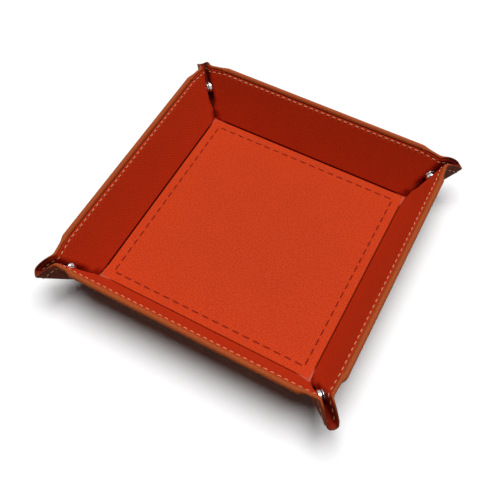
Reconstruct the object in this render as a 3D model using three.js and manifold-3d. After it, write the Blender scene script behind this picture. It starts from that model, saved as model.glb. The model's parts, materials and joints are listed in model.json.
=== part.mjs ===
import * as THREE from 'three';
import { mergeVertices } from 'three/addons/utils/BufferGeometryUtils.js';
import Module from 'manifold-3d';

// Folding dice tray: a square sheet of leather over stiffener boards. The corners have no board,
// so each one is pinched together by a press snap and the sides stand up. Unsnapped, it lies flat.
// Millimetres and degrees, +Z up, origin under the middle of the base. The walls are drawn snapped.

// The sheet
const BASE_SIDE = 166; // crease to crease
const WALL_SLANT = 44; // crease to rim, up the wall
const WALL_ANGLE = 62; // lean of a snapped wall, up from flat
const LEATHER = 1.0; // one layer of leather
const BOARD = 2.0; // stiffener board
const CLEARANCE = 0.3; // between pieces that lie on each other
const SHEET_CORNER = 33; // round corner of the sheet, at the tip of the ear
const PANEL_CORNER = 3; // round corner of the base panels
const BOARD_TO_CREASE = 4; // bare leather beside each crease
const RIM_LIP = 1.7; // cover turned over the rim onto the lining

// The pinched corner
const BEND_RADIUS = 3; // leather turning out of the wall
const SPINE_RISE = 31; // climb of the ear's spine, in degrees
const SPOUT_FLARE = 0.3; // spout at the tip of the ear, wider than the flanks on each side
const SPOUT_FROM = 0.4; // height where the spout begins to widen, as a share of the tip's height
const EAR_FOOT = 6; // height where the ear leather begins
const BEND_GAP = 0.5; // between the wall's leather and the ear's
const FLANK_SETTLE = 0.3; // height where the flanks run parallel, as a share of the rim's height
const FLAT_SHARE = 0.8; // part of the flank that stays flat for the snap
const BOARD_TO_BEND = 3; // soft leather between a wall board and the bend
const BOARD_SETBACK = 2.5; // wall boards are this much shorter than the crease at each end
const SEAM_AT_FOOT = 1.1; // half the seam on the spine of the ear, at its foot
const SEAM_AT_TIP = 0.7; // and at its tip

// The press snap
const SNAP_MARGIN = 0.3; // flat leather left between the snap and the spout
const FLANGE_RADIUS = 4.2; // stud and socket
const CAP_RADIUS = 4.6;
const CAP_DOME = 0.9;
const EYELET_THICKNESS = 0.7;
const STUD_FLANGE = 0.9;
const STUD_HEIGHT = 2.0;
const STUD_NECK_RADIUS = 2.0;
const STUD_HEAD_RADIUS = 2.3;
const STUD_TOP = 0.5;
const SOCKET_HEIGHT = 2.6;
const SPRING_WIRE_RADIUS = 0.3;
const SPRING_OPENING = 50; // gap of the split ring, in degrees
const BARREL_RADIUS = 1.4;
const ROUND_SIDES = 16;

const RAD = Math.PI / 180;
const ROOT2 = Math.SQRT2;
const wasm = await Module();
wasm.setup();

// Sizes that follow. Layer heights are measured from the middle of the cover, where the crease folds.
const lean = WALL_ANGLE * RAD;
const half = BASE_SIDE / 2;
const foldHeight = LEATHER / 2;
const coverTop = LEATHER / 2;
const boardLow = coverTop + CLEARANCE;
const boardTop = boardLow + BOARD;
const liningLow = boardTop + CLEARANCE;
const liningTop = liningLow + LEATHER;
const softLow = coverTop + CLEARANCE; // lining where no board lies under it
const softTop = softLow + LEATHER;
const creaseGap = LEATHER / 2 * Math.tan(lean / 2) + CLEARANCE / 2;
const liningToCrease = liningTop * Math.tan(lean / 2) + CLEARANCE;
const rimRadius = (liningTop + coverTop) / 2;
const rimHeight = WALL_SLANT * Math.sin(lean);
const flankSettle = FLANK_SETTLE * rimHeight; // below it the flanks close in on the spine
const snapHalfGap = (STUD_FLANGE + SOCKET_HEIGHT + 3 * CLEARANCE) / 2;
const flankOffset = softTop + snapHalfGap; // cover middle to the corner's mirror plane, at the snap
const pinchInset = liningLow - softLow; // past the boards the cover is drawn in against the lining
const footLoop = softTop + SEAM_AT_FOOT;
const bendTangent = Math.tan(Math.PI / 8); // the bend turns through 45 degrees in plan

// The ear fans out from one foot, between the bend, where two walls meet, and the spine. The sheet's
// edge would cross the spine at 45 degrees and is rounded off before that.
const bendRise = Math.atan2(Math.sin(lean), Math.cos(lean) * ROOT2);
const spineRise = SPINE_RISE * RAD;
const rimFall = Math.PI / 4 - spineRise;
const fanFoot = BEND_RADIUS * bendTangent - flankOffset - ROOT2 * pinchInset / Math.sin(lean);
const sharpTip = WALL_SLANT * ROOT2;
const tipHeight = (sharpTip - (ROOT2 - 1) * SHEET_CORNER) * Math.sin(spineRise);
const spoutFrom = SPOUT_FROM * tipHeight;

// The snap sits as low in the fan as its flange has room between the bend and the spout
const fanWidth = 1 / Math.tan(spineRise) - 1 / Math.tan(bendRise); // for each millimetre of height
const snapToBend = CAP_RADIUS / Math.sin(bendRise);
const snapToSpout = (FLANGE_RADIUS + SNAP_MARGIN) / Math.sin(spineRise);
const snapHeight = (snapToBend + snapToSpout + flankOffset) / fanWidth;

const mix = (a, b, t) => a + (b - a) * t;
const smooth = (t) => t * t * (3 - 2 * t);
const clamp01 = (t) => Math.min(1, Math.max(0, t));

// Materials
const leather = (color) => new THREE.MeshStandardMaterial({ color, roughness: 0.55, metalness: 0 });
const liningLeather = leather(0xb93d1e);
const coverLeather = leather(0x9a3a1c);
const board = new THREE.MeshStandardMaterial({ color: 0x8f8272, roughness: 0.9, metalness: 0 });
const nickel = new THREE.MeshStandardMaterial({ color: 0xc9c7c2, roughness: 0.2, metalness: 1 });
const springSteel = new THREE.MeshStandardMaterial({ color: 0x8c8c8c, roughness: 0.35, metalness: 1 });

// A closed solid between two grids of points, both indexed [column][row]
function gridSolid(inner, outer) {
  const columns = inner.length;
  const rows = inner[0].length;
  const positions = [];
  for (const grid of [inner, outer]) {
    for (const point of grid.flat()) positions.push(point.x, point.y, point.z);
  }
  const at = (layer, column, row) => (layer * columns + column) * rows + row;
  const index = [];
  const quad = (a, b, c, d) => index.push(a, b, c, a, c, d);
  for (let i = 0; i + 1 < columns; i += 1) {
    for (let j = 0; j + 1 < rows; j += 1) {
      quad(at(0, i, j), at(0, i + 1, j), at(0, i + 1, j + 1), at(0, i, j + 1));
      quad(at(1, i, j), at(1, i, j + 1), at(1, i + 1, j + 1), at(1, i + 1, j));
    }
    quad(at(0, i, 0), at(1, i, 0), at(1, i + 1, 0), at(0, i + 1, 0));
    quad(at(0, i, rows - 1), at(0, i + 1, rows - 1), at(1, i + 1, rows - 1), at(1, i, rows - 1));
  }
  for (let j = 0; j + 1 < rows; j += 1) {
    quad(at(0, 0, j), at(0, 0, j + 1), at(1, 0, j + 1), at(1, 0, j));
    quad(at(0, columns - 1, j), at(1, columns - 1, j), at(1, columns - 1, j + 1), at(0, columns - 1, j + 1));
  }
  const geometry = new THREE.BufferGeometry();
  geometry.setAttribute('position', new THREE.Float32BufferAttribute(positions, 3));
  geometry.setIndex(index);
  return geometry;
}

function toManifold(geometry) {
  const bare = geometry.clone();
  bare.deleteAttribute('normal');
  bare.deleteAttribute('uv');
  const merged = mergeVertices(bare, 1e-4);
  const vertProperties = new Float32Array(merged.attributes.position.array);
  const triVerts = new Uint32Array(merged.index.array);
  return new wasm.Manifold(new wasm.Mesh({ numProp: 3, vertProperties, triVerts }));
}

function fromManifold(solid) {
  const mesh = solid.getMesh();
  const geometry = new THREE.BufferGeometry();
  geometry.setAttribute('position', new THREE.Float32BufferAttribute(mesh.vertProperties, 3));
  geometry.setIndex([...mesh.triVerts]);
  geometry.computeVertexNormals();
  return geometry;
}

function mirrorY(geometry) {
  const mirrored = geometry.clone().scale(1, -1, 1);
  const index = mirrored.index.array;
  for (let i = 0; i < index.length; i += 3) [index[i + 1], index[i + 2]] = [index[i + 2], index[i + 1]];
  mirrored.computeVertexNormals();
  return mirrored;
}

function named(name, geometry, material) {
  const mesh = new THREE.Mesh(geometry, material);
  mesh.name = name;
  return mesh;
}

// Base: three square panels with round corners, the lining set back so that the walls can stand up
function basePanel(reach, low, thickness) {
  const side = reach - PANEL_CORNER;
  const outline = new THREE.Shape();
  outline.absarc(side, side, PANEL_CORNER, 0, Math.PI / 2);
  outline.absarc(-side, side, PANEL_CORNER, Math.PI / 2, Math.PI);
  outline.absarc(-side, -side, PANEL_CORNER, Math.PI, Math.PI * 1.5);
  outline.absarc(side, -side, PANEL_CORNER, Math.PI * 1.5, Math.PI * 2);
  const options = { depth: thickness, bevelEnabled: false, curveSegments: 4 };
  return new THREE.ExtrudeGeometry(outline, options).translate(0, 0, foldHeight + low);
}

// The pinched corner, in plan at one height over the fold. u runs out along the diagonal, v off it.
// From the wall the leather bends out, lies flat beside the mirror plane for the snap, and flares
// into half of the spout, which closes on the mirror plane at the spine of the ear.
function earPlan(height) {
  const settle = smooth(clamp01(height / flankSettle));
  const flare = smooth(clamp01((height - spoutFrom) / (tipHeight - spoutFrom)));
  const loop = mix(footLoop, flankOffset, settle) + SPOUT_FLARE * flare;
  const bendEnd = fanFoot + height / Math.tan(bendRise);
  const loopCentre = fanFoot + height / Math.tan(spineRise) - loop;
  const flatEnd = mix(bendEnd, loopCentre, FLAT_SHARE * settle);
  return { loop, bendEnd, loopCentre, flatEnd };
}

// Point of the cover's middle surface; stretch 0 to 1 is the bend, 1 to 2 the flat, 2 to 3 the flare
// and 3 to 4 the spout
function earPoint(stretch, height) {
  const plan = earPlan(height);
  const part = Math.min(3, Math.floor(stretch));
  const t = stretch - part;
  let u;
  let v;
  if (part === 0) {
    const turn = (1 - t) * Math.PI / 4;
    u = plan.bendEnd - BEND_RADIUS * Math.sin(turn);
    v = flankOffset + BEND_RADIUS * (1 - Math.cos(turn));
  } else if (part === 1) {
    u = mix(plan.bendEnd, plan.flatEnd, t);
    v = flankOffset;
  } else if (part === 2) {
    u = mix(plan.flatEnd, plan.loopCentre, t);
    v = mix(flankOffset, plan.loop, smooth(t));
  } else {
    const seam = mix(SEAM_AT_FOOT, SEAM_AT_TIP, clamp01(height / rimHeight));
    const turn = t * Math.acos(seam / plan.loop);
    u = plan.loopCentre + plan.loop * Math.sin(turn);
    v = plan.loop * Math.cos(turn);
  }
  return new THREE.Vector3((u + v) / ROOT2, (u - v) / ROOT2, height);
}

// How far a point lies inside the ear's rim, which falls away from the wall and rounds the tip
function insideRim(point) {
  const u = (point.x + point.y) / ROOT2 - fanFoot - sharpTip * Math.cos(spineRise);
  const z = point.z - sharpTip * Math.sin(spineRise);
  const back = -u * Math.cos(rimFall) + z * Math.sin(rimFall);
  const below = -u * Math.sin(rimFall) - z * Math.cos(rimFall);
  if (back >= SHEET_CORNER) return below;
  return SHEET_CORNER - Math.hypot(SHEET_CORNER - back, SHEET_CORNER - below);
}

function earRimHeight(stretch) {
  let low = EAR_FOOT;
  let high = rimHeight;
  if (insideRim(earPoint(stretch, high)) >= 0) return high;
  for (let step = 0; step < 40; step += 1) {
    const middle = (low + high) / 2;
    if (insideRim(earPoint(stretch, middle)) > 0) low = middle;
    else high = middle;
  }
  return low;
}

// Inward normal of the ear, from the two directions along it
function earNormal(stretch, height) {
  const step = 1e-3;
  const back = Math.max(0, stretch - step);
  const ahead = Math.min(4, stretch + step);
  const along = earPoint(ahead, height).sub(earPoint(back, height));
  const up = earPoint(stretch, height + step).sub(earPoint(stretch, height - step));
  return up.cross(along).normalize();
}

// One leather layer of half an ear, between two depths measured inward
const EAR_STEPS = [2, 4, 2, 4]; // columns in the bend, the flat, the flare and the spout
const EAR_ROWS = 5;
function earLayer(low, top) {
  const stretches = EAR_STEPS.flatMap((count, part) => {
    return Array.from({ length: count }, (_, i) => part + i / count);
  });
  stretches.push(4);
  const layer = (depth) => stretches.map((stretch) => {
    const rim = earRimHeight(stretch);
    return Array.from({ length: EAR_ROWS + 1 }, (_, row) => {
      const height = mix(EAR_FOOT, rim, row / EAR_ROWS);
      return earPoint(stretch, height).addScaledVector(earNormal(stretch, height), depth);
    });
  });
  return gridSolid(layer(low), layer(top));
}

// End of a wall's leather beyond the middle of the wall, where the bend of the ear begins
function wallEnd(slant) {
  const meeting = half + slant * Math.cos(lean) - pinchInset * Math.sin(lean);
  return meeting - ROOT2 * flankOffset - BEND_RADIUS * bendTangent - BEND_GAP;
}

// Walls, drawn flat: x runs up the wall from the crease, y along it, z in from the cover's middle
const boardHalf = half - BOARD_SETBACK;
const boardEnd = (slant) => Math.min(boardHalf, wallEnd(slant) - BOARD_TO_BEND);
const boardClip = (boardHalf + BOARD_TO_BEND - wallEnd(0)) / Math.cos(lean); // its lower corners are cut off

const bendSlant = (earRimHeight(0) - pinchInset * Math.cos(lean)) / Math.sin(lean); // rim at the bend

function wallOutline(corners) {
  const right = corners.map(([slant, end]) => new THREE.Vector2(slant, end));
  const left = corners.map(([slant, end]) => new THREE.Vector2(slant, -end)).reverse();
  return new THREE.Shape([...left, ...right]);
}

// One layer of a wall's leather out to the bends. Share 0 of its run lies just past the board and
// share 1 at the bend; there topAt gives the slant of its upper edge and riseAt how far it is drawn in.
function wallLayer(low, foot, shares, topAt, riseAt) {
  const columns = [
    ...shares.map((share) => ({ side: 1, share })).reverse(),
    ...shares.map((share) => ({ side: -1, share })),
  ];
  const layer = (depth) => columns.map(({ side, share }) => {
    const stops = [foot, boardClip, topAt(share)];
    const slants = [stops[0], mix(stops[0], stops[1], 0.5), stops[1], mix(stops[1], stops[2], 0.5), stops[2]];
    return slants.map((slant) => {
      const end = mix(boardEnd(slant) + CLEARANCE, wallEnd(slant), share);
      return new THREE.Vector3(slant, side * end, depth + riseAt(share));
    });
  });
  return gridSolid(layer(low + LEATHER), layer(low));
}
const rimSlant = (share) => mix(WALL_SLANT, bendSlant, share);

// Cover: out to the bends, turned over the board's top edge onto the lining
function wallCover() {
  const drawnIn = (share) => pinchInset * smooth(share);
  const plate = wallLayer(-coverTop, creaseGap, [0, 0.25, 0.5, 0.75, 1], rimSlant, drawnIn);
  const rollCentre = WALL_SLANT - rimRadius;
  const rollHeight = liningTop - rimRadius;
  const lipEnd = rollCentre - RIM_LIP;
  const hem = new THREE.Shape();
  hem.moveTo(lipEnd, -coverTop);
  hem.absarc(rollCentre, rollHeight, rimRadius, -Math.PI / 2, Math.PI / 2);
  hem.lineTo(lipEnd, liningTop);
  hem.lineTo(lipEnd, liningTop - LEATHER);
  hem.absarc(rollCentre, rollHeight, rimRadius - LEATHER, Math.PI / 2, -Math.PI / 2, true);
  hem.lineTo(lipEnd, coverTop);
  const options = { depth: 2 * boardHalf, bevelEnabled: false, curveSegments: 8 };
  const roll = new THREE.ExtrudeGeometry(hem, options).rotateX(Math.PI / 2).translate(0, boardHalf, 0);
  const rimTrim = new THREE.BoxGeometry(2 * rimRadius, 2 * boardHalf, LEATHER);
  rimTrim.translate(WALL_SLANT, 0, 0);
  return fromManifold(toManifold(plate).subtract(toManifold(rimTrim)).add(toManifold(roll)));
}

function wallBoard() {
  const slants = [BOARD_TO_CREASE, boardClip, WALL_SLANT - rimRadius];
  const outline = wallOutline(slants.map((slant) => [slant, boardEnd(slant)]));
  return new THREE.ExtrudeGeometry(outline, { depth: BOARD, bevelEnabled: false }).translate(0, 0, boardLow);
}

// Lining: flat over the board up to the turned rim, and on past the end of that rim to the bend
function wallLining() {
  const lipEdge = WALL_SLANT - rimRadius - RIM_LIP - CLEARANCE;
  const pastRim = 0.04; // share of the run where the lining has passed the end of the turned rim
  const topAt = (share) => (share < pastRim ? lipEdge : rimSlant(share));
  return wallLayer(liningLow, liningToCrease, [0, pastRim, 1], topAt, () => 0);
}

// Press snap, turned about its axis. Its middle lies on the mirror plane; the cap side is positive.
const round = (points) => {
  const profile = points.map(([radius, along]) => new THREE.Vector2(radius, along));
  return new THREE.LatheGeometry(profile, ROUND_SIDES);
};
const coverFace = flankOffset + coverTop + CLEARANCE;
const studLow = -snapHalfGap + CLEARANCE;
const studBase = studLow + STUD_FLANGE;
const studTip = studBase + STUD_HEIGHT;
const socketLow = studBase + CLEARANCE;
const socketTop = socketLow + SOCKET_HEIGHT;
const barrelHole = BARREL_RADIUS + CLEARANCE;
const socketCavity = studTip + CLEARANCE;
const socketMouth = STUD_HEAD_RADIUS + 2 * CLEARANCE;
const springRadius = STUD_HEAD_RADIUS + CLEARANCE + SPRING_WIRE_RADIUS;
const springRoom = springRadius + SPRING_WIRE_RADIUS + CLEARANCE;
const springHeight = studTip - STUD_HEIGHT / 2;
const springHalf = SPRING_WIRE_RADIUS + CLEARANCE;

function snapCap() {
  const rise = (share) => coverFace + CAP_DOME * Math.sqrt(1 - share * share);
  const dome = [0, 0.3, 0.55, 0.75, 0.9].map((share) => [CAP_RADIUS * share, rise(share)]);
  return round([
    ...dome, [CAP_RADIUS, coverFace + CLEARANCE], [CAP_RADIUS, coverFace], [BARREL_RADIUS, coverFace],
    [BARREL_RADIUS, socketCavity], [0, socketCavity],
  ].reverse());
}

function snapSocket() {
  const edge = FLANGE_RADIUS - CLEARANCE;
  return round([
    [barrelHole, socketTop], [barrelHole, socketCavity], [socketMouth, socketCavity],
    [socketMouth, springHeight + springHalf], [springRoom, springHeight + springHalf],
    [springRoom, springHeight - springHalf], [socketMouth, springHeight - springHalf],
    [socketMouth, socketLow], [edge, socketLow], [FLANGE_RADIUS, socketLow + CLEARANCE],
    [FLANGE_RADIUS, socketTop - CLEARANCE], [edge, socketTop], [barrelHole, socketTop],
  ]);
}

function snapStud() {
  const edge = FLANGE_RADIUS - CLEARANCE;
  const headLow = studBase + STUD_HEIGHT / 2;
  return round([
    [0, studTip - STUD_TOP], [barrelHole, studTip - STUD_TOP], [barrelHole, studLow], [edge, studLow],
    [FLANGE_RADIUS, studLow + CLEARANCE], [FLANGE_RADIUS, studBase - CLEARANCE], [edge, studBase],
    [STUD_NECK_RADIUS, studBase], [STUD_NECK_RADIUS, headLow], [STUD_HEAD_RADIUS, headLow + CLEARANCE],
    [STUD_HEAD_RADIUS, studTip - CLEARANCE], [STUD_HEAD_RADIUS - CLEARANCE, studTip], [0, studTip],
  ]);
}

function snapEyelet() {
  const face = -coverFace;
  const top = studTip - STUD_TOP - CLEARANCE;
  return round([
    [0, face - EYELET_THICKNESS], [FLANGE_RADIUS - CLEARANCE, face - EYELET_THICKNESS],
    [FLANGE_RADIUS, face - CLEARANCE], [FLANGE_RADIUS, face], [BARREL_RADIUS, face],
    [BARREL_RADIUS, top], [0, top],
  ]);
}

// Split ring in the socket's groove, which closes behind the stud's head
class RingArc extends THREE.Curve {
  getPoint(t) {
    const turn = (SPRING_OPENING / 2 + t * (360 - SPRING_OPENING)) * RAD;
    return new THREE.Vector3(springRadius * Math.cos(turn), springHeight, springRadius * Math.sin(turn));
  }
}

function snapSpring() {
  const wire = new THREE.Shape().absarc(0, 0, SPRING_WIRE_RADIUS, 0, 2 * Math.PI);
  return new THREE.ExtrudeGeometry(wire, {
    steps: ROUND_SIDES, curveSegments: 3, bevelEnabled: false, extrudePath: new RingArc(),
  });
}

// Where the snap sits on the corner: beside the bend, on the flat of the flank
const snapOut = earPlan(snapHeight).bendEnd + snapToBend;
const snapAxis = new THREE.Vector3(1, -1, 0).normalize();

function placeSnap(object) {
  object.position.set(half + snapOut / ROOT2, half + snapOut / ROOT2, foldHeight + snapHeight);
  object.quaternion.setFromUnitVectors(new THREE.Vector3(0, 1, 0), snapAxis);
  return object;
}

// Half an ear: one layer at its place on the corner, with the hole that the snap's barrel passes
function earPiece(low, top) {
  const layer = earLayer(low, top).translate(half, half, foldHeight);
  const rod = new THREE.CylinderGeometry(barrelHole, barrelHole, 2 * coverFace, ROUND_SIDES);
  const drill = placeSnap(new THREE.Mesh(rod));
  drill.updateMatrix();
  const hole = rod.applyMatrix4(drill.matrix);
  return fromManifold(toManifold(layer).subtract(toManifold(hole)));
}

// The whole tray
const tray = new THREE.Group();
tray.add(named('base_cover', basePanel(half - creaseGap, -coverTop, LEATHER), coverLeather));
tray.add(named('base_board', basePanel(half - BOARD_TO_CREASE, boardLow, BOARD), board));
tray.add(named('base_lining', basePanel(half - liningToCrease, liningLow, LEATHER), liningLeather));

const earCover = earPiece(-coverTop, coverTop);
const earLining = earPiece(softLow, softTop);
const earSides = [[earCover, earLining], [mirrorY(earCover), mirrorY(earLining)]];
const wallGeometry = { cover: wallCover(), board: wallBoard(), lining: wallLining() };
const WALLS = ['right', 'back', 'left', 'front'];

WALLS.forEach((wall, turn) => {
  const next = WALLS[(turn + 1) % 4];
  const previous = WALLS[(turn + 3) % 4];
  const side = new THREE.Group();
  side.rotation.z = turn * Math.PI / 2;
  tray.add(side);

  const panel = new THREE.Group();
  panel.position.set(half, 0, foldHeight);
  panel.rotation.y = -lean;
  panel.add(named(`${wall}_wall_cover`, wallGeometry.cover, coverLeather));
  panel.add(named(`${wall}_wall_board`, wallGeometry.board, board));
  panel.add(named(`${wall}_wall_lining`, wallGeometry.lining, liningLeather));
  side.add(panel);

  [next, previous].forEach((neighbour, i) => {
    const [cover, lining] = earSides[i];
    side.add(named(`${wall}_wall_${neighbour}_ear_cover`, cover, coverLeather));
    side.add(named(`${wall}_wall_${neighbour}_ear_lining`, lining, liningLeather));
  });

  const corner = `${wall}_${next}`;
  const snap = placeSnap(new THREE.Group());
  snap.add(named(`${corner}_snap_cap`, snapCap(), nickel));
  snap.add(named(`${corner}_snap_socket`, snapSocket(), nickel));
  snap.add(named(`${corner}_snap_spring`, snapSpring(), springSteel));
  snap.add(named(`${corner}_snap_stud`, snapStud(), nickel));
  snap.add(named(`${corner}_snap_eyelet`, snapEyelet(), nickel));
  side.add(snap);
});

export default tray;
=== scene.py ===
# %% [markdown]
# A folding dice tray: one square sheet of red imitation leather with boards sewn into it. The four
# corners have no board, so each is pinched by a press snap and the sides stand up. The packed
# model is loaded first, because every piece made here rides on one of its bodies.

# %% Load the frame
import json
import math

import bmesh
import bpy
import numpy as np
from mathutils import Matrix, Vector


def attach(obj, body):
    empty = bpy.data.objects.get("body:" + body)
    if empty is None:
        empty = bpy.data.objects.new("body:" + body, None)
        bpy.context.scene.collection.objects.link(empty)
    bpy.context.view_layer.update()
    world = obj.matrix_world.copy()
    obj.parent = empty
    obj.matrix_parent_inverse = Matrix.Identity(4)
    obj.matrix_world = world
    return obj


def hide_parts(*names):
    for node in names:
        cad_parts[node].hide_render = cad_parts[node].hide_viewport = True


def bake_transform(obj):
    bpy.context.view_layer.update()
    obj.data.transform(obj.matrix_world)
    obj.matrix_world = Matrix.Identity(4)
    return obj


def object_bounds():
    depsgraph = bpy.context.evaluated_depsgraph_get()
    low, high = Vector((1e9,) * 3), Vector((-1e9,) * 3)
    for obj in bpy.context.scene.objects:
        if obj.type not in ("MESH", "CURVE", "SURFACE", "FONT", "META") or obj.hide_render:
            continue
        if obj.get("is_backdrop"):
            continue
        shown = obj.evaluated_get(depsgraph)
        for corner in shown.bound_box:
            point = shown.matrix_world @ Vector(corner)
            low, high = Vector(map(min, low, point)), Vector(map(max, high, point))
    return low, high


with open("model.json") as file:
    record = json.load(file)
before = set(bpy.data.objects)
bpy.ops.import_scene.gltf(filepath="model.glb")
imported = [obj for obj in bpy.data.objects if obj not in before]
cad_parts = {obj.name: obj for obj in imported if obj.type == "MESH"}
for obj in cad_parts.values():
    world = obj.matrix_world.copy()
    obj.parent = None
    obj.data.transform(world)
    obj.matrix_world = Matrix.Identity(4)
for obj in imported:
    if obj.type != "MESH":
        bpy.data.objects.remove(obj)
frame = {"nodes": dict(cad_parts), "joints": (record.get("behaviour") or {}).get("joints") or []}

cad_low, cad_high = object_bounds()
joints = {joint["name"]: joint for joint in frame["joints"]}

# %% [markdown]
# The sheet's sizes, in millimetres. The place of the crease and the lean of a wall come from the
# frame's own hinge; the rest repeats the part's driving sizes. Depths are measured inward from
# the middle of the outer leather, so the same number works on the base, a wall and a corner.

# %% Sizes of the sheet
MM = 0.001
HALF = joints["fold_right"]["pos_m"][0] / MM  # middle of the base to a crease
FOLD = joints["fold_right"]["pos_m"][2] / MM  # height of the fold line over the table
LEAN = math.radians(joints["fold_right"]["range_deg"][1])
SLANT = 44.0  # crease to rim
OUTER_FACE = -0.5  # outer face of the cover
SOFT_FACE = 1.8  # inner face of the lining where no board lies under it
PADDED_FACE = 4.1  # and over a board
VALLEY_FACE = 1.3  # and in the crease, where it lies on the cover
LEATHER = 0.9
EAR_LEATHER = 0.8
RIM_HEIGHT = SLANT * math.sin(LEAN)
WALLS = ["right", "back", "left", "front"]
print("crease at", HALF, "mm, rim", round(RIM_HEIGHT, 1), "mm over the fold")


def smooth(t):
    """A soft step: 3 t squared less 2 t cubed, with t held between 0 and 1."""
    t = np.clip(t, 0.0, 1.0)
    return t * t * (3.0 - 2.0 * t)


def mix(a, b, t):
    """A straight blend from a to b."""
    return a + (b - a) * t


def unit(vectors):
    """Vectors made one long."""
    return vectors / np.linalg.norm(vectors, axis=-1, keepdims=True)


# %% [markdown]
# The camera comes early, because every later choice is judged through it. Its place was solved
# from the four corners of the base, the stitched square and the four rims in the photo. The unit
# of that solution is the visible crease, which lies a little inside the fold, on top of the board.

# %% Camera
VIEW_AZIMUTH, VIEW_ELEVATION, VIEW_ROLL = 29.12, 59.68, -0.83
VIEW_DISTANCE = 5.98  # in visible crease half sides
VIEW_TARGET = np.array([0.0197, -0.1728, 0.0])
FOCAL_PIXELS, IMAGE_PIXELS, SENSOR = 679.9, 500, 36.0
visible_crease = HALF - PADDED_FACE * math.tan(LEAN / 2)


def camera_axes(azimuth, elevation, roll):
    """Right, up and back axes of a camera that looks at the target from that side, turned by roll."""
    a, e, r = (math.radians(angle) for angle in (azimuth, elevation, roll))
    back = np.array([math.sin(a) * math.cos(e), -math.cos(a) * math.cos(e), math.sin(e)])
    right = unit(np.cross([0.0, 0.0, 1.0], back))
    up = np.cross(back, right)
    return right * math.cos(r) + up * math.sin(r), up * math.cos(r) - right * math.sin(r), back


def placed(axes, place):
    """Blender's matrix for three axes and a place in metres."""
    matrix = np.eye(4)
    matrix[:3, :3] = np.column_stack(axes)
    matrix[:3, 3] = place
    return Matrix(matrix.tolist())


view_axes = camera_axes(VIEW_AZIMUTH, VIEW_ELEVATION, VIEW_ROLL)
view_place = (VIEW_TARGET + VIEW_DISTANCE * view_axes[2]) * visible_crease + [0, 0, FOLD + PADDED_FACE]
camera = bpy.data.objects.new("camera", bpy.data.cameras.new("camera"))
bpy.context.scene.collection.objects.link(camera)
camera.data.sensor_width = SENSOR
camera.data.lens = SENSOR * FOCAL_PIXELS / IMAGE_PIXELS
camera.data.clip_start = 0.01
camera.matrix_world = placed(view_axes, view_place * MM)
bpy.context.scene.camera = camera
print("camera at", np.round(view_place, 1), "mm, lens", round(camera.data.lens, 1), "mm")

# %% [markdown]
# Every finish is built from nodes. Three helpers start things: one adds a node and sets its inputs,
# one starts a material and one starts a group. What changes over the surface is linked, and what is
# the same all over is set on the shader's own socket.

# %% Nodes, materials and groups
def add_node(tree, kind, settings=None, **inputs):
    """Adds a node, sets its properties, then fills each named input with a value or a link."""
    node = tree.nodes.new(kind)
    for key, value in (settings or {}).items():
        setattr(node, key, value)
    for key, value in inputs.items():
        socket = node.inputs[int(key[1:])] if key[0] == "_" else node.inputs[key.replace("_", " ")]
        if isinstance(value, bpy.types.NodeSocket):
            tree.links.new(value, socket)
        else:
            socket.default_value = value
    return node


def start_material(name, **constants):
    """A material with one Principled shader, whose constant sockets are set here."""
    material = bpy.data.materials.new(name)
    material.use_nodes = True
    shader = material.node_tree.nodes["Principled BSDF"]
    for key, value in constants.items():
        shader.inputs[key.replace("_", " ")].default_value = value
    return material, material.node_tree, shader


def start_group(name, inputs, outputs):
    """An empty shader node group with named float or vector sockets."""
    tree = bpy.data.node_groups.new(name, "ShaderNodeTree")
    kinds = {"f": "NodeSocketFloat", "v": "NodeSocketVector"}
    for sockets, side in ((inputs, "INPUT"), (outputs, "OUTPUT")):
        for label, kind in sockets:
            tree.interface.new_socket(label, in_out=side, socket_type=kinds[kind])
    return tree, tree.nodes.new("NodeGroupInput").outputs, tree.nodes.new("NodeGroupOutput").inputs


print("nodes can be added")

# %% [markdown]
# A few nodes come back in nearly every finish: a sum, a soft step, a colour between two tones, a
# tint and a bump. Each gets a short name, so that a finish reads as a list of what it does.

# %% Nodes that come back
def calc(tree, operation, first, second=0.0):
    """The result of one Math node."""
    return add_node(tree, "ShaderNodeMath", {"operation": operation}, _0=first, _1=second).outputs[0]


def vector_calc(tree, operation, first, second=(0.0, 0.0, 0.0)):
    """The outputs of one Vector Math node."""
    return add_node(tree, "ShaderNodeVectorMath", {"operation": operation}, _0=first, _1=second).outputs


def fade(tree, value, start, stop, before=1.0, after=0.0):
    """A soft step from before to after, while the value goes from start to stop."""
    return add_node(
        tree, "ShaderNodeMapRange", {"interpolation_type": "SMOOTHSTEP"},
        Value=value, From_Min=start, From_Max=stop, To_Min=before, To_Max=after,
    ).outputs[0]


def two_tones(tree, value, dark, light, start=0.0, stop=1.0):
    """A colour that goes from dark to light while the value goes from start to stop."""
    ramp = add_node(tree, "ShaderNodeValToRGB", _0=value)
    for element, position, tone in zip(ramp.color_ramp.elements, (start, stop), (dark, light)):
        element.position = position
        element.color = (*tone, 1.0)
    return ramp.outputs["Color"]


def tinted(tree, color, share, tint):
    """The colour, mixed with a tint by a share."""
    mixed = add_node(tree, "ShaderNodeMix", {"data_type": "RGBA"}, _0=share, _6=color, _7=(*tint, 1.0))
    return mixed.outputs[2]


def add_relief(tree, shader, height, strength, distance):
    """A bump from a height, on the shader's normal."""
    bump = add_node(tree, "ShaderNodeBump", Strength=strength, Distance=distance, Height=height)
    tree.links.new(bump.outputs["Normal"], shader.inputs["Normal"])


print("node shorthand ready")

# %% [markdown]
# Imitation leather has a printed grain: fine pebbles crossed by a slight diagonal hatch, and a tone
# that drifts a little from place to place. An image would show it too, but it would have to be
# loaded. The grain reads the flat sheet's own coordinates, kept as a UV map in metres, so it bends
# with the leather. The group gives a height for the bump and a tone for the colour.

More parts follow.
